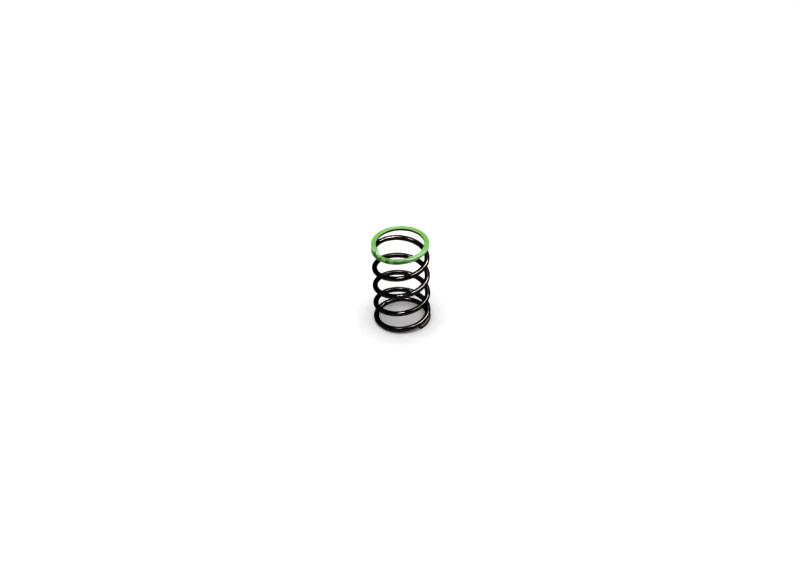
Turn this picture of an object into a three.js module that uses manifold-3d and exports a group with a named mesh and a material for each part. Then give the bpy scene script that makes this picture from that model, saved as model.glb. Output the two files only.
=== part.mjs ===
// A small helical compression spring: one length of round steel wire, wound right-handed, with closed
// and ground ends, standing on its ground seat. Millimetres, +Z up, origin on the spring's axis at the
// bottom seat. The last turn at the top carries a coat of green paint.
//
// The wire is divided into lengths, so that each can take its own share of the spring's travel: one
// closed coil at each end, which stays rigid, and short lengths of active coil between them. Height is
// measured along the wire in turns from its bottom tip.
import * as THREE from "three";
import { mergeVertices } from "three/addons/utils/BufferGeometryUtils.js";
import Module from "manifold-3d";

// Driving dimensions.
const WIRE_DIAMETER = 1.3;
const MEAN_DIAMETER = 13.3; // across the wire's centreline
const PITCH = 5.6; // rise of one full active turn
const TOTAL_TURNS = 5.7; // from tip to tip
const BOTTOM_TIP_ANGLE = -50; // degrees from +X, counter-clockwise seen from above
const GROUND_DEPTH = 0.45; // ground off the wire's thickness at each tip

// Each end is wound with a flat stretch at its tip, over which the wire gains no height, and then a
// stretch over which its pitch opens from nothing to full.
const BOTTOM_END = { flatTurns: 0.31, openingTurns: 0.99 };
const TOP_END = { flatTurns: 0.45, openingTurns: 0.63 };

// How the wire is divided.
const BOTTOM_END_TURNS = 1.1; // rigid coil at the bottom
const TOP_END_TURNS = 1.075; // rigid coil at the top, which is the painted one
const ACTIVE_LENGTHS = 28;
const CUT_GAP = 0.1; // between one length of wire and the next

// How finely the surface is divided.
const WIRE_SIDES = 12;
const DEGREES_PER_STEP = 9;

const WIRE_RADIUS = WIRE_DIAMETER / 2;
const MEAN_RADIUS = MEAN_DIAMETER / 2;
const SEAT_TO_CENTRELINE = WIRE_RADIUS - GROUND_DEPTH;
const CUT_GAP_TURNS = CUT_GAP / (Math.PI * MEAN_DIAMETER);
const FREE_LENGTH = riseAt(TOTAL_TURNS) + 2 * SEAT_TO_CENTRELINE;

const wasm = await Module();
wasm.setup();

/** The height between a tip and a point so many turns along the wire from it. */
function riseFromTip(turns, { flatTurns, openingTurns }) {
  const opening = THREE.MathUtils.clamp(turns - flatTurns, 0, openingTurns);
  const open = Math.max(turns - flatTurns - openingTurns, 0);
  return PITCH * ((opening * opening) / (2 * openingTurns) + open);
}

/** The centreline's height over its lowest point. */
function riseAt(turn) {
  const middle = TOTAL_TURNS / 2;
  if (turn <= middle) {
    return riseFromTip(turn, BOTTOM_END);
  }
  const riseOfWhole = riseFromTip(middle, BOTTOM_END) + riseFromTip(middle, TOP_END);
  return riseOfWhole - riseFromTip(TOTAL_TURNS - turn, TOP_END);
}

/** The wire's centreline from one turn count to another. */
class WireCentreline extends THREE.Curve {
  constructor(fromTurn, toTurn) {
    super();
    this.fromTurn = fromTurn;
    this.toTurn = toTurn;
  }

  getPoint(t, target = new THREE.Vector3()) {
    const turn = THREE.MathUtils.lerp(this.fromTurn, this.toTurn, t);
    const angle = THREE.MathUtils.degToRad(BOTTOM_TIP_ANGLE + 360 * turn);
    return target.set(
      MEAN_RADIUS * Math.cos(angle),
      MEAN_RADIUS * Math.sin(angle),
      SEAT_TO_CENTRELINE + riseAt(turn),
    );
  }
}

/** The wire's cross-section, a polygon with a side facing each seat. */
function wireSection() {
  const corners = [];
  for (let side = 0; side < WIRE_SIDES; side += 1) {
    const angle = (2 * Math.PI * (side + 0.5)) / WIRE_SIDES;
    corners.push(new THREE.Vector2(WIRE_RADIUS * Math.cos(angle), WIRE_RADIUS * Math.sin(angle)));
  }
  return new THREE.Shape(corners);
}

/** A length of wire, cut square to its own run at both ends. */
function wireGeometry(fromTurn, toTurn) {
  return new THREE.ExtrudeGeometry(wireSection(), {
    extrudePath: new WireCentreline(fromTurn, toTurn),
    steps: Math.ceil((360 * (toTurn - fromTurn)) / DEGREES_PER_STEP),
  });
}

function toSolid(geometry) {
  const bare = geometry.index ? geometry.toNonIndexed() : geometry.clone();
  bare.deleteAttribute("normal");
  bare.deleteAttribute("uv");
  const merged = mergeVertices(bare, 1e-3);
  return new wasm.Manifold(
    new wasm.Mesh({
      numProp: 3,
      vertProperties: merged.attributes.position.array,
      triVerts: new Uint32Array(merged.index.array),
    }),
  );
}

function toGeometry(solid) {
  const mesh = solid.getMesh();
  const geometry = new THREE.BufferGeometry();
  geometry.setAttribute("position", new THREE.BufferAttribute(mesh.vertProperties, 3));
  geometry.setIndex(new THREE.BufferAttribute(mesh.triVerts, 1));
  return geometry;
}

/** Grinds away whatever of an end coil stands past its seat: side -1 is the bottom, 1 the top. */
function groundEnd(geometry, side) {
  const stock = 2 * MEAN_DIAMETER;
  const wheel = new THREE.BoxGeometry(stock, stock, stock);
  const seat = side < 0 ? 0 : FREE_LENGTH;
  wheel.translate(0, 0, seat + (side * stock) / 2);
  return toGeometry(toSolid(geometry).subtract(toSolid(wheel)));
}

const darkSteel = () =>
  new THREE.MeshStandardMaterial({ color: 0x2f2927, roughness: 0.38, metalness: 0.85 });
const greenPaint = () =>
  new THREE.MeshStandardMaterial({ color: 0x79c05b, roughness: 0.45, metalness: 0.0 });

function namedMesh(name, geometry, material) {
  geometry.computeVertexNormals();
  const mesh = new THREE.Mesh(geometry, material);
  mesh.name = name;
  return mesh;
}

function bottomEndCoil() {
  const wire = wireGeometry(0, BOTTOM_END_TURNS - CUT_GAP_TURNS / 2);
  return namedMesh("bottom_end_coil", groundEnd(wire, -1), darkSteel());
}

function topEndCoil() {
  const wire = wireGeometry(TOTAL_TURNS - TOP_END_TURNS + CUT_GAP_TURNS / 2, TOTAL_TURNS);
  return namedMesh("top_end_coil", groundEnd(wire, 1), greenPaint());
}

/** The lengths of active coil, in order from the bottom. */
function activeCoils() {
  const coils = new THREE.Group();
  const lengthTurns = (TOTAL_TURNS - BOTTOM_END_TURNS - TOP_END_TURNS) / ACTIVE_LENGTHS;
  for (let index = 0; index < ACTIVE_LENGTHS; index += 1) {
    const start = BOTTOM_END_TURNS + index * lengthTurns;
    const wire = wireGeometry(start + CUT_GAP_TURNS / 2, start + lengthTurns - CUT_GAP_TURNS / 2);
    const name = `active_coil_${String(index + 1).padStart(2, "0")}`;
    coils.add(namedMesh(name, wire, darkSteel()));
  }
  return coils;
}

const spring = new THREE.Group();
spring.add(bottomEndCoil());
spring.add(activeCoils());
spring.add(topEndCoil());

export default spring;
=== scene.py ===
"""A small painted compression spring: drawn dark steel wire and a coat of green enamel.

Its pieces lie on the CAD frame. The wire is one smooth tube, cut into lengths that meet without a gap.
"""

import math

import bpy
import numpy as np
from mathutils import Matrix, Vector, noise


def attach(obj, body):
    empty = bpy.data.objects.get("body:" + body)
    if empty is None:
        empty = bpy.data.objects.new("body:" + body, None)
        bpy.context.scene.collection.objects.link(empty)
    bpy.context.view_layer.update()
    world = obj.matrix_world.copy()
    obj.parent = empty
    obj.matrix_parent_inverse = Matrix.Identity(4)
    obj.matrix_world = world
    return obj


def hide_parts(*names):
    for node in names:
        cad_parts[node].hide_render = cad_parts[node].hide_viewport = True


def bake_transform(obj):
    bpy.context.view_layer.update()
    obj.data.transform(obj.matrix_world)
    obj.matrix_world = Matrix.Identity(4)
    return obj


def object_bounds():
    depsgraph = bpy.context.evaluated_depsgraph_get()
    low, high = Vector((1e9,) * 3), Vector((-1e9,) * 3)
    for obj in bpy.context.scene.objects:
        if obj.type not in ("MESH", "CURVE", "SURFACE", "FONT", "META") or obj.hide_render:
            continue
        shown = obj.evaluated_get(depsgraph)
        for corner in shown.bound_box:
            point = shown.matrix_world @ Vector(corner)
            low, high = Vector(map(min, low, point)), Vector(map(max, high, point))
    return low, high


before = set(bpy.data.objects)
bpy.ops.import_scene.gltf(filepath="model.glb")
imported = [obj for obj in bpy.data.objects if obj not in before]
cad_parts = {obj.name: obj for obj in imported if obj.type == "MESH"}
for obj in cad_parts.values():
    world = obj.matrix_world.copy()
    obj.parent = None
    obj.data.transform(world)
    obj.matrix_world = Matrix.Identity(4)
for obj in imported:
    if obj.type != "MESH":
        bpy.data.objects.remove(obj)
cad_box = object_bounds()

MM = 0.001

# The wire, as the CAD frame has it. Each end has a flat stretch at its tip, then one where its pitch
# opens. Places along the wire are in turns from its bottom tip.
WIRE_RADIUS = 0.65 * MM
MEAN_RADIUS = 6.65 * MM
PITCH = 5.6 * MM
TOTAL_TURNS = 5.7
GROUND_DEPTH = 0.45 * MM
BOTTOM_FLAT_TURNS = 0.31
BOTTOM_OPENING_TURNS = 0.99
TOP_FLAT_TURNS = 0.45
TOP_OPENING_TURNS = 0.63
BOTTOM_TIP_ANGLE = math.radians(-50)
BOTTOM_END_TURNS = 1.1
TOP_END_TURNS = 1.075
BOTTOM_SEAT = cad_box[0].z
TOP_SEAT = cad_box[1].z
ARC_LENGTH = 2 * math.pi * MEAN_RADIUS

# The compression joint moves each point of the active coils by a share of its travel, which grows from 0
# at the bottom to 1 at the top. It eases in and out over EASE_TURNS.
EASE_TURNS = 0.25
ACTIVE_TURNS = TOTAL_TURNS - BOTTOM_END_TURNS - TOP_END_TURNS
ACTIVE_NODES = sorted(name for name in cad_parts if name.startswith("active_coil_"))

# How finely the surfaces are divided. A fan is the points to each side of the one that faces a seat. It
# spans the ground flat, is at its narrowest where the flat runs out, and from there widens until its
# points are spaced as the others are.
WIRE_SIDES = 44
WIRE_FAN = 9
FILM_SIDES = 80
FILM_FAN = 18
RING_ANGLE = math.radians(2)
NARROW_FAN = math.radians(20)
WIDENING_TURNS = 0.2

# The edges of the ground flats and of the sheared tips, and the stretch of wire that a tip takes up.
FLAT_EDGE = 0.03 * MM
TIP_ROUND = 0.07 * MM
TIP_TURNS = 2 * TIP_ROUND / ARC_LENGTH
CAP_RIM = 0.18 * MM  # a ring of the flat cap inside a tip's rounded edge, which keeps the cap's shading flat


def rise_from_tip(turns, flat_turns, opening_turns):
    """The height between a tip and a point so many turns along the wire from it."""
    opening = min(max(turns - flat_turns, 0.0), opening_turns)
    opened = max(turns - flat_turns - opening_turns, 0.0)
    return PITCH * (opening * opening / (2 * opening_turns) + opened)


def rise_from_bottom(turns):
    return rise_from_tip(turns, BOTTOM_FLAT_TURNS, BOTTOM_OPENING_TURNS)


def rise_from_top(turns):
    return rise_from_tip(turns, TOP_FLAT_TURNS, TOP_OPENING_TURNS)


def rise_at(turn):
    """The centreline's height over its lowest point."""
    middle = TOTAL_TURNS / 2
    if turn <= middle:
        return rise_from_bottom(turn)
    return rise_from_bottom(middle) + rise_from_top(middle) - rise_from_top(TOTAL_TURNS - turn)


def centre_at(turn):
    """A point on the wire's centreline."""
    angle = BOTTOM_TIP_ANGLE + 2 * math.pi * turn
    return Vector((
        MEAN_RADIUS * math.cos(angle),
        MEAN_RADIUS * math.sin(angle),
        BOTTOM_SEAT + WIRE_RADIUS - GROUND_DEPTH + rise_at(turn),
    ))


def frame_at(turn):
    """The wire's centre, its outward direction, its upward direction and its run at a turn."""
    angle = BOTTOM_TIP_ANGLE + 2 * math.pi * turn
    outward = Vector((math.cos(angle), math.sin(angle), 0.0))
    small_turn = 1e-4
    run = (centre_at(turn + small_turn) - centre_at(turn - small_turn)).normalized()
    upward = outward.cross(run).normalized()
    if upward.z < 0:
        upward = -upward
    return centre_at(turn), outward, upward, run


def smooth_step(value):
    value = min(max(value, 0.0), 1.0)
    return value * value * (3 - 2 * value)


class Point:
    """A point of a cross-section.

    Its angle is measured from the side that faces the seat, outward positive. Of the two values after it,
    each from 0 to 1, the first is 1 on steel where the wire is ground bright, and on paint says how dark the
    coat is, in patches of starved paint and painted shade. The second is a painted sheen on the paint.
    """

    def __init__(self, place, normal, angle, ground_or_dark=0.0, painted_sheen=0.0):
        self.place = place
        self.normal = normal
        self.angle = angle
        self.ground_or_dark = ground_or_dark
        self.painted_sheen = painted_sheen


def fan_half_angle(turn, seat_side, half_flat, even):
    """The angle that the fan spans to each side: the ground flat's, or past the flat a widening one."""
    if seat_side > 0:
        turns, flat_turns, opening_turns = TOTAL_TURNS - turn, TOP_FLAT_TURNS, TOP_OPENING_TURNS
    else:
        turns, flat_turns, opening_turns = turn, BOTTOM_FLAT_TURNS, BOTTOM_OPENING_TURNS
    flat_end = flat_turns + math.sqrt(2 * opening_turns * GROUND_DEPTH / PITCH)
    past = smooth_step((turns - flat_end) / WIDENING_TURNS)
    return max(half_flat, NARROW_FAN + (even - NARROW_FAN) * past)


def wire_section(turn, seat_side, sides=WIRE_SIDES, fan=WIRE_FAN, edge=FLAT_EDGE):
    """The wire's section, ground flat where it passes a seat.

    seat_side is 1 for the top seat, -1 for the bottom one and 0 for none.
    """
    centre, outward, upward, _ = frame_at(turn)
    seatward = -upward if seat_side < 0 else upward
    even = 2 * math.pi * fan / sides
    reach = 2 * WIRE_RADIUS
    fan_angle = even
    half_flat = 0.0
    if seat_side:
        seat = TOP_SEAT if seat_side > 0 else BOTTOM_SEAT
        reach = (seat - centre.z) / seatward.z
        half_flat = math.acos(min(reach / WIRE_RADIUS, 1.0))
        fan_angle = fan_half_angle(turn, seat_side, half_flat, even)
    wide_flat = half_flat >= NARROW_FAN
    half_width = WIRE_RADIUS * math.sin(half_flat) - edge
    seat_normal = Vector((0.0, 0.0, float(seat_side)))
    points = []
    for index in range(sides):
        offset = index - sides // 2
        if seat_side >= 0:
            offset = -offset
        place = abs(offset)
        if place <= fan:
            angle = fan_angle * place / fan
            if wide_flat and place == fan:
                angle += edge / WIRE_RADIUS
        else:
            rest = (place - fan) / (sides / 2 - fan)
            angle = fan_angle + (math.pi - fan_angle) * rest
        angle = math.copysign(angle, offset)
        across = WIRE_RADIUS * math.sin(angle)
        height = WIRE_RADIUS * math.cos(angle)
        normal = outward * math.sin(angle) + seatward * math.cos(angle)
        ground_or_dark = 0.0
        if wide_flat and place < fan:
            across = half_width * offset / (fan - 1)
        if height > reach or (wide_flat and place < fan):
            height = reach
            normal = seat_normal
            ground_or_dark = 1.0
        points.append(Point(centre + outward * across + seatward * height, normal, angle, ground_or_dark))
    return points


class Tube:
    """Sections swept along the wire and closed at both ends, with the wire's own coordinates."""

    def __init__(self, name):
        self.name = name
        self.points = []
        self.normals = []
        self.runs = []
        self.ground_or_dark_values = []
        self.painted_sheens = []
        self.faces = []
        self.rings = []
        self.sides = 0

    def ring(self, turn, section):
        """Adds a section to the tube. Its angles give the coordinates round the wire."""
        first = len(self.points)
        self.sides = len(section)
        for point in section:
            self.points.append(point.place)
            self.normals.append(point.normal)
            self.ground_or_dark_values.append(point.ground_or_dark)
            self.painted_sheens.append(point.painted_sheen)
            self.runs.append((turn * ARC_LENGTH / MM, math.sin(point.angle), math.cos(point.angle)))
        if self.rings:
            before = self.rings[-1]
            for side in range(self.sides):
                beside = (side + 1) % self.sides
                self.faces.append((before + side, first + side, first + beside, before + beside))
        self.rings.append(first)

    def tip(self, turn, section_at, way, rounding, steps=4, lift=0.0):
        """A rounded end: the section at turn draws in as it reaches the end.

        way is 1 at the wire's top and -1 at its bottom, and lift is how far the end stands past the turn.
        """
        run = frame_at(turn)[3]
        rings = []
        for step in range(steps + 1):
            lean = (math.pi / 2) * step / steps
            rings.append((lean, rounding * (1 - math.cos(lean)), rounding * (math.sin(lean) - 1)))
        rings.append((math.pi / 2, rounding + CAP_RIM, 0.0))
        if way < 0:
            rings.reverse()
        for lean, inset, back in rings:
            section = []
            for point in section_at(turn):
                shift = run * way * (back + lift)
                normal = point.normal * math.cos(lean) + run * way * math.sin(lean)
                place = point.place - point.normal * inset + shift
                section.append(Point(place, normal, point.angle, point.ground_or_dark, point.painted_sheen))
            self.ring(turn, section)

    def close(self):
        """Caps the first and last sections."""
        first, last = self.rings[0], self.rings[-1]
        self.faces.append(tuple(first + side for side in range(self.sides)))
        self.faces.append(tuple(last + side for side in reversed(range(self.sides))))

    def build(self, material, exact_normals=True):
        """Makes the object. Exact normals are the wire's own, so its lengths meet without a crease."""
        self.close()
        mesh = bpy.data.meshes.new(self.name)
        mesh.from_pydata([tuple(p) for p in self.points], [], self.faces)
        mesh.validate()
        obj = bpy.data.objects.new(self.name, mesh)
        bpy.context.scene.collection.objects.link(obj)
        mesh.materials.append(material)
        run = mesh.attributes.new("wire_run", "FLOAT_VECTOR", "POINT")
        run.data.foreach_set("vector", np.array(self.runs, np.float32).ravel())
        # Ground steel on the wire; on the paint, dark patches of starved paint and painted shade, and
        # painted sheen.
        ground_or_dark = mesh.attributes.new("ground_or_dark", "FLOAT", "POINT")
        ground_or_dark.data.foreach_set("value", np.array(self.ground_or_dark_values, np.float32))
        painted_sheen = mesh.attributes.new("painted_sheen", "FLOAT", "POINT")
        painted_sheen.data.foreach_set("value", np.array(self.painted_sheens, np.float32))
        mesh.shade_smooth()
        if exact_normals:
            mesh.normals_split_custom_set_from_vertices([tuple(n) for n in self.normals])
        return obj


def turns_between(start, end):
    count = max(2, math.ceil((end - start) * 2 * math.pi / RING_ANGLE))
    return [start + (end - start) * step / count for step in range(count + 1)]


# ---------------------------------------------------------------------------------------- materials


def new_material(name):
    material = bpy.data.materials.new(name)
    material.use_nodes = True
    tree = material.node_tree
    tree.nodes.clear()
    output = tree.nodes.new("ShaderNodeOutputMaterial")
    shader = tree.nodes.new("ShaderNodeBsdfPrincipled")
    tree.links.new(shader.outputs["BSDF"], output.inputs["Surface"])
    return material, tree, shader


def attribute(tree, name, output):
    source = tree.nodes.new("ShaderNodeAttribute")
    source.attribute_name = name
    return source.outputs[output]


def stretched(tree, coordinates, scale):
    mapping = tree.nodes.new("ShaderNodeMapping")
    mapping.inputs["Scale"].default_value = scale
    tree.links.new(coordinates, mapping.inputs["Vector"])
    return mapping.outputs["Vector"]


def wire_coordinates(tree, along, around):
    """Coordinates that follow the wire: along is the scale per mm of run, around that of its section."""
    return stretched(tree, attribute(tree, "wire_run", "Vector"), (along, around, around))


def object_coordinates(tree, scale):
    """The object's own coordinates, at a scale per mm."""
    source = tree.nodes.new("ShaderNodeTexCoord")
    return stretched(tree, source.outputs["Object"], tuple(part / MM for part in scale))


def noise_value(tree, coordinates, detail=3.0, roughness=0.5):
    node = tree.nodes.new("ShaderNodeTexNoise")
    node.inputs["Scale"].default_value = 1.0
    node.inputs["Detail"].default_value = detail
    node.inputs["Roughness"].default_value = roughness
    tree.links.new(coordinates, node.inputs["Vector"])
    return node.outputs["Fac"]


def ramp(tree, value, stops):
    """A colour ramp: stops are (place, colour)."""
    node = tree.nodes.new("ShaderNodeValToRGB")
    elements = node.color_ramp.elements
    while len(elements) < len(stops):
        elements.new(0.5)
    for element, (place, colour) in zip(elements, stops):
        element.position = place
        element.color = (*colour, 1.0)
    tree.links.new(value, node.inputs["Fac"])
    return node.outputs["Color"]


def spread(tree, value, low, high, start=0.3, end=0.7):
    """Maps a value that runs from start to end, as a noise does by default, onto low to high."""
    node = tree.nodes.new("ShaderNodeMapRange")
    node.inputs["From Min"].default_value = start
    node.inputs["From Max"].default_value = end
    node.inputs["To Min"].default_value = low
    node.inputs["To Max"].default_value = high
    tree.links.new(value, node.inputs["Value"])
    return node.outputs["Result"]


def summed(tree, first, second):
    node = tree.nodes.new("ShaderNodeMath")
    node.operation = "ADD"
    tree.links.new(first, node.inputs[0])
    tree.links.new(second, node.inputs[1])
    return node.outputs["Value"]


MIX_SOCKETS = {
    "RGBA": ("A_Color", "B_Color", "Result_Color"),
    "FLOAT": ("A_Float", "B_Float", "Result_Float"),
}


def mix_node(tree, first, second, kind):
    """A Mix node over two inputs, and its result."""
    node = tree.nodes.new("ShaderNodeMix")
    node.data_type = kind
    sockets = {socket.identifier: socket for socket in [*node.inputs, *node.outputs]}
    a, b, result = (sockets[name] for name in MIX_SOCKETS[kind])
    tree.links.new(first, a)
    tree.links.new(second, b)
    return node, result


def mixed(tree, factor, first, second, kind="RGBA"):
    """From first to second, as the factor goes from 0 to 1."""
    node, result = mix_node(tree, first, second, kind)
    tree.links.new(factor, node.inputs["Factor"])
    return result


def added(tree, first, second):
    """One colour added to another."""
    node, result = mix_node(tree, first, second, "RGBA")
    node.blend_type = "ADD"
    node.inputs["Factor"].default_value = 1.0
    return result


def bumped(tree, shader, layers):
    """Stacks bumps: layers are (height output, distance in mm, strength)."""
    normal = None
    for height, distance, strength in layers:
        node = tree.nodes.new("ShaderNodeBump")
        node.inputs["Distance"].default_value = distance * MM
        node.inputs["Strength"].default_value = strength
        tree.links.new(height, node.inputs["Height"])
        if normal is not None:
            tree.links.new(normal, node.inputs["Normal"])
        normal = node.outputs["Normal"]
    tree.links.new(normal, shader.inputs["Normal"])


# The wire is duller near its bottom tip: by how much, and from where to where, in mm of its run, that fades.
DULL_ROUGHNESS = 0.42
DULL_FADES_FROM = 5.0
DULL_FADES_TO = 12.0


def dark_steel():
    """Oil-tempered spring wire: near-black oxide with fine drawing lines, bare steel where it is ground."""
    material, tree, shader = new_material("dark_spring_steel")
    patches = noise_value(tree, wire_coordinates(tree, 0.5, 0.7), detail=4.0, roughness=0.6)
    lines = noise_value(tree, wire_coordinates(tree, 0.30, 13.0), detail=3.0, roughness=0.65)
    grain = noise_value(tree, wire_coordinates(tree, 9.0, 6.0), detail=4.0, roughness=0.7)
    rubbed = noise_value(tree, wire_coordinates(tree, 1.6, 2.6), detail=5.0, roughness=0.75)
    wheel = noise_value(tree, object_coordinates(tree, (0.5, 16.0, 1.0)), detail=3.0, roughness=0.6)
    oxide = ramp(tree, patches, [
        (0.38, (0.011, 0.0095, 0.0085)),
        (0.50, (0.026, 0.0228, 0.0207)),
        (0.64, (0.051, 0.0440, 0.0395)),
    ])
    drawn = ramp(tree, lines, [
        (0.30, (0.013, 0.0113, 0.0103)),
        (0.64, (0.057, 0.0500, 0.0455)),
    ])
    worn = ramp(tree, rubbed, [
        (0.60, (0.0, 0.0, 0.0)),
        (0.72, (0.055, 0.050, 0.046)),
    ])
    black = mixed(tree, spread(tree, grain, 0.15, 0.50), oxide, drawn)
    lifted = added(tree, black, worn)
    bright = ramp(tree, wheel, [
        (0.30, (0.24, 0.23, 0.22)),
        (0.70, (0.46, 0.45, 0.43)),
    ])
    ground_or_dark = attribute(tree, "ground_or_dark", "Fac")
    tree.links.new(mixed(tree, ground_or_dark, lifted, bright), shader.inputs["Base Color"])
    along = tree.nodes.new("ShaderNodeSeparateXYZ")
    tree.links.new(attribute(tree, "wire_run", "Vector"), along.inputs["Vector"])
    dull = spread(tree, along.outputs["X"], DULL_ROUGHNESS, 0.0, start=DULL_FADES_FROM, end=DULL_FADES_TO)
    satin = summed(tree, spread(tree, lines, 0.06, 0.14), dull)
    coarse = spread(tree, wheel, 0.32, 0.48)
    tree.links.new(mixed(tree, ground_or_dark, satin, coarse, kind="FLOAT"), shader.inputs["Roughness"])
    shader.inputs["Metallic"].default_value = 1.0
    shader.inputs["Specular Tint"].default_value = (0.16, 0.14, 0.13, 1.0)
    bumped(tree, shader, [(lines, 0.02, 0.30), (grain, 0.01, 0.20), (rubbed, 0.01, 0.15)])
    return material


def green_enamel():
    """A thin coat of satin green enamel, brushed on by hand: paler in bands of painted sheen, and dark in
    patches of starved paint and painted shade.
    """
    material, tree, shader = new_material("green_paint")
    coat = noise_value(tree, object_coordinates(tree, (0.35, 0.35, 0.35)), detail=3.0, roughness=0.5)
    brush = noise_value(tree, wire_coordinates(tree, 0.8, 6.0), detail=3.0, roughness=0.6)
    grain = noise_value(tree, wire_coordinates(tree, 14.0, 9.0), detail=3.0, roughness=0.6)
    coated = ramp(tree, coat, [
        (0.34, (0.096, 0.250, 0.044)),
        (0.50, (0.118, 0.276, 0.056)),
        (0.66, (0.146, 0.305, 0.078)),
    ])
    strokes = ramp(tree, brush, [
        (0.32, (0.086, 0.225, 0.040)),
        (0.66, (0.150, 0.315, 0.084)),
    ])
    green = mixed(tree, spread(tree, grain, 0.2, 0.6), coated, strokes)
    # Painted sheen: a paler, whiter green mixed in, in bands along the wire.
    sheen_colour = ramp(tree, brush, [
        (0.32, (0.205, 0.365, 0.180)),
        (0.66, (0.250, 0.410, 0.230)),
    ])
    painted_sheen = spread(tree, attribute(tree, "painted_sheen", "Fac"), 0.0, 0.5, start=0.0, end=1.0)
    sheened = mixed(tree, painted_sheen, green, sheen_colour)
    # Dark green in patches: partly starved paint, partly painted shade.
    starved_and_shaded_colour = ramp(tree, grain, [
        (0.35, (0.016, 0.048, 0.011)),
        (0.65, (0.040, 0.110, 0.024)),
    ])
    tree.links.new(mixed(tree, attribute(tree, "ground_or_dark", "Fac"), sheened, starved_and_shaded_colour), shader.inputs["Base Color"])
    tree.links.new(spread(tree, brush, 0.30, 0.42), shader.inputs["Roughness"])
    shader.inputs["Specular IOR Level"].default_value = 0.28
    bumped(tree, shader, [(coat, 0.05, 0.3), (brush, 0.02, 0.3), (grain, 0.008, 0.3)])
    return material


def studio_paper():
    material, tree, shader = new_material("studio_paper")
    fibres = noise_value(tree, object_coordinates(tree, (0.9, 0.9, 0.9)))
    tint = ramp(tree, fibres, [(0.35, (0.495, 0.493, 0.497)), (0.6, (0.505, 0.505, 0.507))])
    tree.links.new(tint, shader.inputs["Base Color"])
    shader.inputs["Roughness"].default_value = 0.85
    shader.inputs["Specular IOR Level"].default_value = 0.2
    return material


# -------------------------------------------------------------------------------------------- wire


def bottom_end_wire(material):
    def section_at(turn):
        return wire_section(turn, -1)

    tube = Tube("bottom_end_wire")
    tube.tip(0.0, section_at, -1, TIP_ROUND)
    for turn in turns_between(TIP_TURNS, BOTTOM_END_TURNS):
        tube.ring(turn, section_at(turn))
    obj = tube.build(material)
    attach(obj, "base")
    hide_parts("bottom_end_coil")


def top_end_wire(material):
    """The painted coil's wire. It is dark all round: its ground flat lies under the paint."""
    def section_at(turn):
        section = wire_section(turn, 1)
        for point in section:
            point.ground_or_dark = 0.0
        return section

    tube = Tube("top_end_wire")
    for turn in turns_between(TOTAL_TURNS - TOP_END_TURNS, TOTAL_TURNS - TIP_TURNS):
        tube.ring(turn, section_at(turn))
    tube.tip(TOTAL_TURNS, section_at, 1, TIP_ROUND)
    obj = tube.build(material)
    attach(obj, "top")
    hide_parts("top_end_coil")


def travel_share(turns):
    """The share of the joint's travel taken at so many turns into the active coils."""
    if turns > ACTIVE_TURNS / 2:
        return 1 - travel_share(ACTIVE_TURNS - turns)
    slope = 1 / (ACTIVE_TURNS - EASE_TURNS)
    if turns < EASE_TURNS:
        return slope * turns * turns / (2 * EASE_TURNS)
    return slope * (turns - EASE_TURNS / 2)


def blend_place(share):
    """Where along a blend's line, from 0 to 1, the blend reaches a share: its curve is 3t^2 - 2t^3."""
    return 0.5 - math.sin(math.asin(1 - 2 * min(max(share, 0.0), 1.0)) / 3)


def active_wire(index, material):
    """One length of active coil, between the two end coils. It works out where on a blend's line the shares
    at its two ends fall, but nothing here bends it.
    """
    length = ACTIVE_TURNS / len(ACTIVE_NODES)
    start = BOTTOM_END_TURNS + index * length
    end = start + length
    tube = Tube(f"active_wire_{index + 1:02d}")
    for turn in turns_between(start, end):
        tube.ring(turn, wire_section(turn, 0))
    obj = tube.build(material)
    place_start = blend_place(travel_share(index * length))
    place_end = blend_place(travel_share((index + 1) * length))
    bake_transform(obj)
    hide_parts(ACTIVE_NODES[index])


# ------------------------------------------------------------------------------------------- paint

FILM = 0.035 * MM  # the paint's thickness
FILM_EDGE_TURN = TOTAL_TURNS - TOP_END_TURNS + 0.03  # where the paint begins
FILM_OVERLAP = 1.0 * MM  # how far before that its mesh starts, inside the wire
FEATHER = 0.16 * MM  # the width over which it thins out at an edge
TIP_BEAD = 0.42 * MM  # how far it stands past the wire's tip
FILM_TIP_ROUND = 0.36 * MM  # how rounded it is there

# The strip that the brush missed, low on the wire's inner side. It narrows to half as wide down the wire.
BARE_ANGLE = math.radians(-131)
BARE_HALF_ANGLE = math.radians(58)
STRIP_NARROWS_AT = 0.5  # turns from the top tip
STRIP_NARROWS_OVER = 0.2

# A fine scratch across the paint. It slants a little.
SKIP_TURN = TOTAL_TURNS - 0.325
SKIP_WIDTH = 0.15 * MM
SKIP_SLANT = 0.25 * MM

# The painted sheen's bands: turns from the top tip to the first band's brightest, and from one band to the
# next.
FIRST_SHEEN_BAND = 0.31
SHEEN_BAND_TURNS = 0.39
SHEEN_BAND_SHARPNESS = 1.6

# Where the dark patches begin, in turns from the top tip, and over how many. They are partly starved paint,
# partly painted shade.
DARK_PATCHES_FROM = 0.72
DARK_PATCHES_OVER = 0.10

# The pool of paint on the coil below the tip: how far it runs past the tip, and how far back into the wire.
POOL_REACH = 1.9 * MM
POOL_BURIED = 0.40 * MM
POOL_STEPS = 40
POOL_SIDES = 48
POOL_SHOULDER = 0.35  # the smaller, the squarer the shoulders of its section
POOL_BELOW_SEAT = 0.02 * MM
POOL_RIPPLE = 0.04 * MM


def unevenness(point, size, seed):
    """A smooth unevenness, from -1 to 1, in lumps of about a size in mm."""
    return noise.noise(point / (size * MM) + Vector((seed, 0.0, 0.0)))


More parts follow.
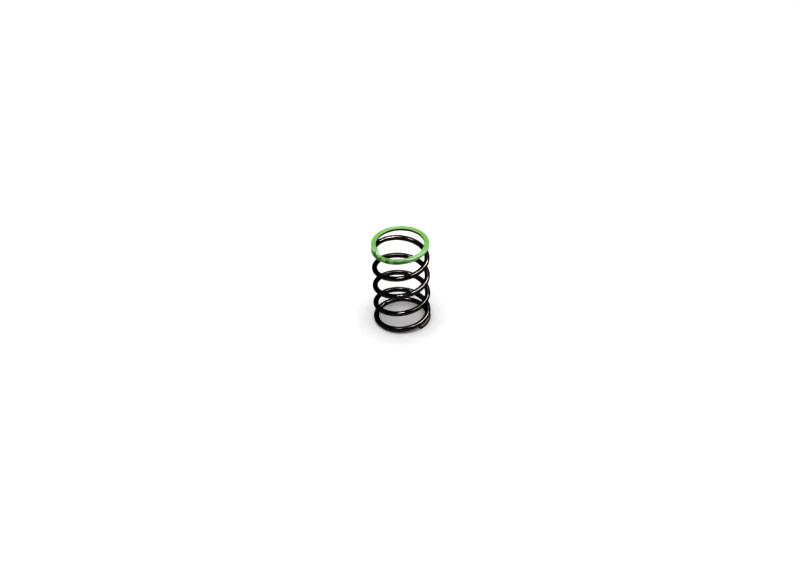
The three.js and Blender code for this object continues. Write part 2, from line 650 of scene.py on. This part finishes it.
def film_cover(turn, point):
    """How far inside the paint's edge a point lies: 0 at the edge, and 1 from where the coat is full."""
    place = point.place
    stop = 0.45 * unevenness(place, size=1.6, seed=3.0) + 0.15 * unevenness(place, size=0.4, seed=9.0)
    along = (turn - FILM_EDGE_TURN) * ARC_LENGTH + stop * MM
    turns_from_tip = TOTAL_TURNS - turn
    narrowed = smooth_step((turns_from_tip - STRIP_NARROWS_AT) / STRIP_NARROWS_OVER)
    half = BARE_HALF_ANGLE * (1 - 0.5 * narrowed)
    half += math.radians(9) * unevenness(place, size=2.4, seed=21.0)
    half += math.radians(6) * unevenness(place, size=0.5, seed=33.0)
    swing = abs((point.angle - BARE_ANGLE + math.pi) % (2 * math.pi) - math.pi)
    around = (swing - half) * WIRE_RADIUS
    return min(max(min(along, around) / FEATHER, -1.0), 1.0)


def film_thickness(turn, point):
    """The paint's thickness. It is negative past the paint's edge, so the film ends inside the wire."""
    cover = film_cover(turn, point)
    swell = 0.30 * unevenness(point.place, size=1.8, seed=7.0)
    ripple = 0.12 * unevenness(point.place, size=0.5, seed=15.0)
    thickness = FILM * (1 + swell + ripple)
    if cover < 1.0:
        bead = 0.4 * FILM * math.exp(-((cover - 0.9) ** 2) / 0.08)
        thickness = thickness * math.sin(cover * math.pi / 2) + bead * max(cover, 0.0)
    from_skip = (turn - SKIP_TURN) * ARC_LENGTH + SKIP_SLANT * math.sin(point.angle)
    skip_depth = 0.8 + 0.9 * smooth_step(math.degrees(point.angle) / 60 + 0.4)
    return thickness - FILM * skip_depth * math.exp(-((from_skip / SKIP_WIDTH) ** 2))


def starved_and_shaded(turn, point):
    """How dark the paint is, from 0 to 1: in patches, partly starved paint and partly painted shade,
    most of all low on the wire's outer side.
    """
    off_flat = smooth_step((TOTAL_TURNS - turn - DARK_PATCHES_FROM) / DARK_PATCHES_OVER)
    lumps = unevenness(point.place, size=1.3, seed=51.0) + 0.4 * unevenness(point.place, size=0.4, seed=57.0)
    # Painted shade: the patches darken most low on the wire's outer side.
    low = smooth_step((math.degrees(point.angle) - 15) / 60)
    return off_flat * smooth_step((lumps + 0.05) / 0.30) * (0.35 + 0.65 * low)


def painted_sheen_at(turn):
    """How much painted sheen the paint carries, from 0 to 1: it swells to a band at even steps along the
    wire.
    """
    wave = 0.5 + 0.5 * math.cos(2 * math.pi * (TOTAL_TURNS - turn - FIRST_SHEEN_BAND) / SHEEN_BAND_TURNS)
    return wave ** SHEEN_BAND_SHARPNESS


def film_section(turn):
    """The wire's section with the paint on it."""
    section = wire_section(turn, 1, FILM_SIDES, FILM_FAN, edge=2 * FLAT_EDGE)
    for point in section:
        # Dark patches of starved paint and painted shade, and bands of painted sheen.
        point.ground_or_dark = starved_and_shaded(turn, point)
        point.painted_sheen = painted_sheen_at(turn)
        point.place = point.place + point.normal * film_thickness(turn, point)
    return section


def paint_film(material):
    tube = Tube("paint_film")
    first = FILM_EDGE_TURN - FILM_OVERLAP / ARC_LENGTH
    last = TOTAL_TURNS - 1.2 * FILM_TIP_ROUND / ARC_LENGTH
    for turn in turns_between(first, last):
        tube.ring(turn, film_section(turn))
    tube.tip(TOTAL_TURNS, film_section, 1, FILM_TIP_ROUND, steps=9, lift=TIP_BEAD)
    obj = tube.build(material, exact_normals=False)
    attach(obj, "top")
    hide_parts("top_end_coil")


def paint_pool(material):
    """Paint that has pooled in the step between the wire's top tip and the coil under it.

    It stands as high as the top seat at the tip, and falls to the paint on that coil.
    """
    tube = Tube("paint_pool")
    radius = WIRE_RADIUS + 0.5 * FILM
    fall_start = 0.5 * TIP_BEAD
    for step in range(POOL_STEPS + 1):
        along = -POOL_BURIED + (POOL_REACH + POOL_BURIED) * step / POOL_STEPS
        turn = TOTAL_TURNS + along / ARC_LENGTH
        outward = frame_at(turn)[1]
        below = centre_at(turn - 1)
        fall = min(max((along - fall_start) / (POOL_REACH - fall_start), 0.0), 1.0)
        lift = (TOP_SEAT - POOL_BELOW_SEAT - below.z - radius) * (1 - smooth_step(fall))
        section = []
        for side in range(POOL_SIDES):
            angle = math.pi - 2 * math.pi * side / POOL_SIDES
            normal = outward * math.sin(angle) + Vector((0.0, 0.0, math.cos(angle)))
            place = below + normal * radius
            place.z += lift * max(math.cos(angle), 0.0) ** POOL_SHOULDER
            place += normal * (POOL_RIPPLE * (1 - fall) * unevenness(place, size=0.6, seed=41.0))
            point = Point(place, normal, angle)
            # The pool carries the coil's dark patches, partly painted shade, and its painted sheen.
            point.ground_or_dark = starved_and_shaded(turn - 1, point)
            point.painted_sheen = painted_sheen_at(turn - 1)
            section.append(point)
        tube.ring(turn, section)
    obj = tube.build(material, exact_normals=False)
    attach(obj, "top")


# ------------------------------------------------------------------------------------ stage and light

FLOOR_REACH = 0.4  # metres from the spring's axis to each side
SURROUND_STRENGTH = 0.12  # what the surround gives as light
BACKDROP_STRENGTH = 1.05  # what the camera sees of it

# The soft boxes, all at one distance in metres. A depth is a multiple of that distance.
LIGHT_DISTANCE = 1.2
RING_BOXES = 6
RING_ELEVATION = math.radians(60)
RING_DEPTH = 0.65
RING_RADIANCE = 4.30

# The boxes that give the highlights: from one direction to another, with a depth and a radiance.
HIGHLIGHTS = {
    "canopy": ((-0.02, 0.20, 0.95), (0.60, 0.30, 0.75), 0.9, 5.0),
    "window": ((-0.35, -0.19, 0.92), (-0.12, -0.26, 0.95), 0.16, 110.0),
    "front_strip": ((0.18, -0.24, 0.95), (0.56, -0.10, 0.83), 0.15, 90.0),
    "right_strip": ((0.54, -0.14, 0.83), (0.70, 0.50, 0.50), 0.15, 90.0),
}


def paper_floor():
    reach = FLOOR_REACH
    mesh = bpy.data.meshes.new("floor")
    corners = [(-reach, -reach), (reach, -reach), (reach, reach), (-reach, reach)]
    mesh.from_pydata([(x, y, BOTTOM_SEAT) for x, y in corners], [], [(0, 1, 2, 3)])
    floor = bpy.data.objects.new("floor", mesh)
    bpy.context.scene.collection.objects.link(floor)
    mesh.materials.append(studio_paper())


def soft_box(name, start, end, depth, radiance, aim, glossy):
    """A rectangular soft box that faces aim, and seen from there runs from one direction to another.

    It gives the highlights if glossy is true, and otherwise the soft light.
    """
    start = Vector(start).normalized()
    end = Vector(end).normalized()
    toward = (start + end).normalized()
    along = (end - start).normalized()
    data = bpy.data.lights.new(name, "AREA")
    data.shape = "RECTANGLE"
    data.size = (end - start).length * LIGHT_DISTANCE
    data.size_y = depth * LIGHT_DISTANCE
    data.energy = radiance * math.pi * data.size * data.size_y
    light = bpy.data.objects.new(name, data)
    bpy.context.scene.collection.objects.link(light)
    turned = Matrix((along, toward.cross(along), toward)).transposed().to_4x4()
    light.matrix_world = Matrix.Translation(aim + toward * LIGHT_DISTANCE) @ turned
    light.visible_glossy = glossy
    light.visible_diffuse = not glossy


def studio(aim):
    """A white surround, a ring of soft boxes for the soft light, and four boxes for the highlights only.

    The canopy hangs overhead and behind, wide and dim. The window and the two strips are narrow and bright:
    at the left in front, at the right in front, and along the right.
    """
    world = bpy.data.worlds.new("studio")
    world.use_nodes = True
    tree = world.node_tree
    surround = tree.nodes["Background"]
    surround.inputs["Color"].default_value = (1.0, 0.985, 0.985, 1.0)
    surround.inputs["Strength"].default_value = SURROUND_STRENGTH
    backdrop = tree.nodes.new("ShaderNodeBackground")
    backdrop.inputs["Color"].default_value = (1.0, 1.0, 1.0, 1.0)
    backdrop.inputs["Strength"].default_value = BACKDROP_STRENGTH
    path = tree.nodes.new("ShaderNodeLightPath")
    chosen = tree.nodes.new("ShaderNodeMixShader")
    tree.links.new(path.outputs["Is Camera Ray"], chosen.inputs["Fac"])
    tree.links.new(surround.outputs["Background"], chosen.inputs[1])
    tree.links.new(backdrop.outputs["Background"], chosen.inputs[2])
    tree.links.new(chosen.outputs["Shader"], tree.nodes["World Output"].inputs["Surface"])
    bpy.context.scene.world = world
    half_step = math.pi / RING_BOXES
    level = math.cos(RING_ELEVATION)
    height = math.sin(RING_ELEVATION)
    for place in range(RING_BOXES):
        ends = []
        for side in (-1, 1):
            angle = (2 * place + side) * half_step
            ends.append((math.cos(angle) * level, math.sin(angle) * level, height))
        soft_box(f"ring_{place + 1}", *ends, RING_DEPTH, RING_RADIANCE, aim, glossy=False)
    for name, (start, end, depth, radiance) in HIGHLIGHTS.items():
        soft_box(name, start, end, depth, radiance, aim, glossy=True)


def camera(aim):
    """The reference's view: from above the horizon, through a long lens, turned a little clockwise."""
    elevation = math.radians(38.4)
    roll = math.radians(1.8)
    distance = 66.85 * MEAN_RADIUS
    aside = Vector((-0.364, 0.0, -0.039)) * MM
    above_view = 1.44 * MM  # how far the spring's middle lies above the middle of the view
    back = Vector((0.0, -math.cos(elevation), math.sin(elevation)))
    upward = Vector((0.0, math.sin(elevation), math.cos(elevation)))
    target = aim + aside - upward * above_view
    data = bpy.data.cameras.new("camera")
    data.sensor_width = 36.0
    data.lens = 78.8
    data.clip_start = 0.01
    data.clip_end = 10.0
    view = bpy.data.objects.new("camera", data)
    bpy.context.scene.collection.objects.link(view)
    view.location = target + back * distance
    turned = back.to_track_quat("Z", "Y").to_matrix().to_4x4() @ Matrix.Rotation(-roll, 4, "Z")
    view.rotation_euler = turned.to_euler()
    bpy.context.scene.camera = view


middle = Vector((0.0, 0.0, (BOTTOM_SEAT + TOP_SEAT) / 2))
camera(middle)

steel = dark_steel()
enamel = green_enamel()
bottom_end_wire(steel)
for index in range(len(ACTIVE_NODES)):
    active_wire(index, steel)
top_end_wire(steel)
paint_film(enamel)
paint_pool(enamel)
paper_floor()
studio(middle)
bpy.context.scene.view_settings.view_transform = "Standard"
bpy.context.scene.view_settings.gamma = 0.72
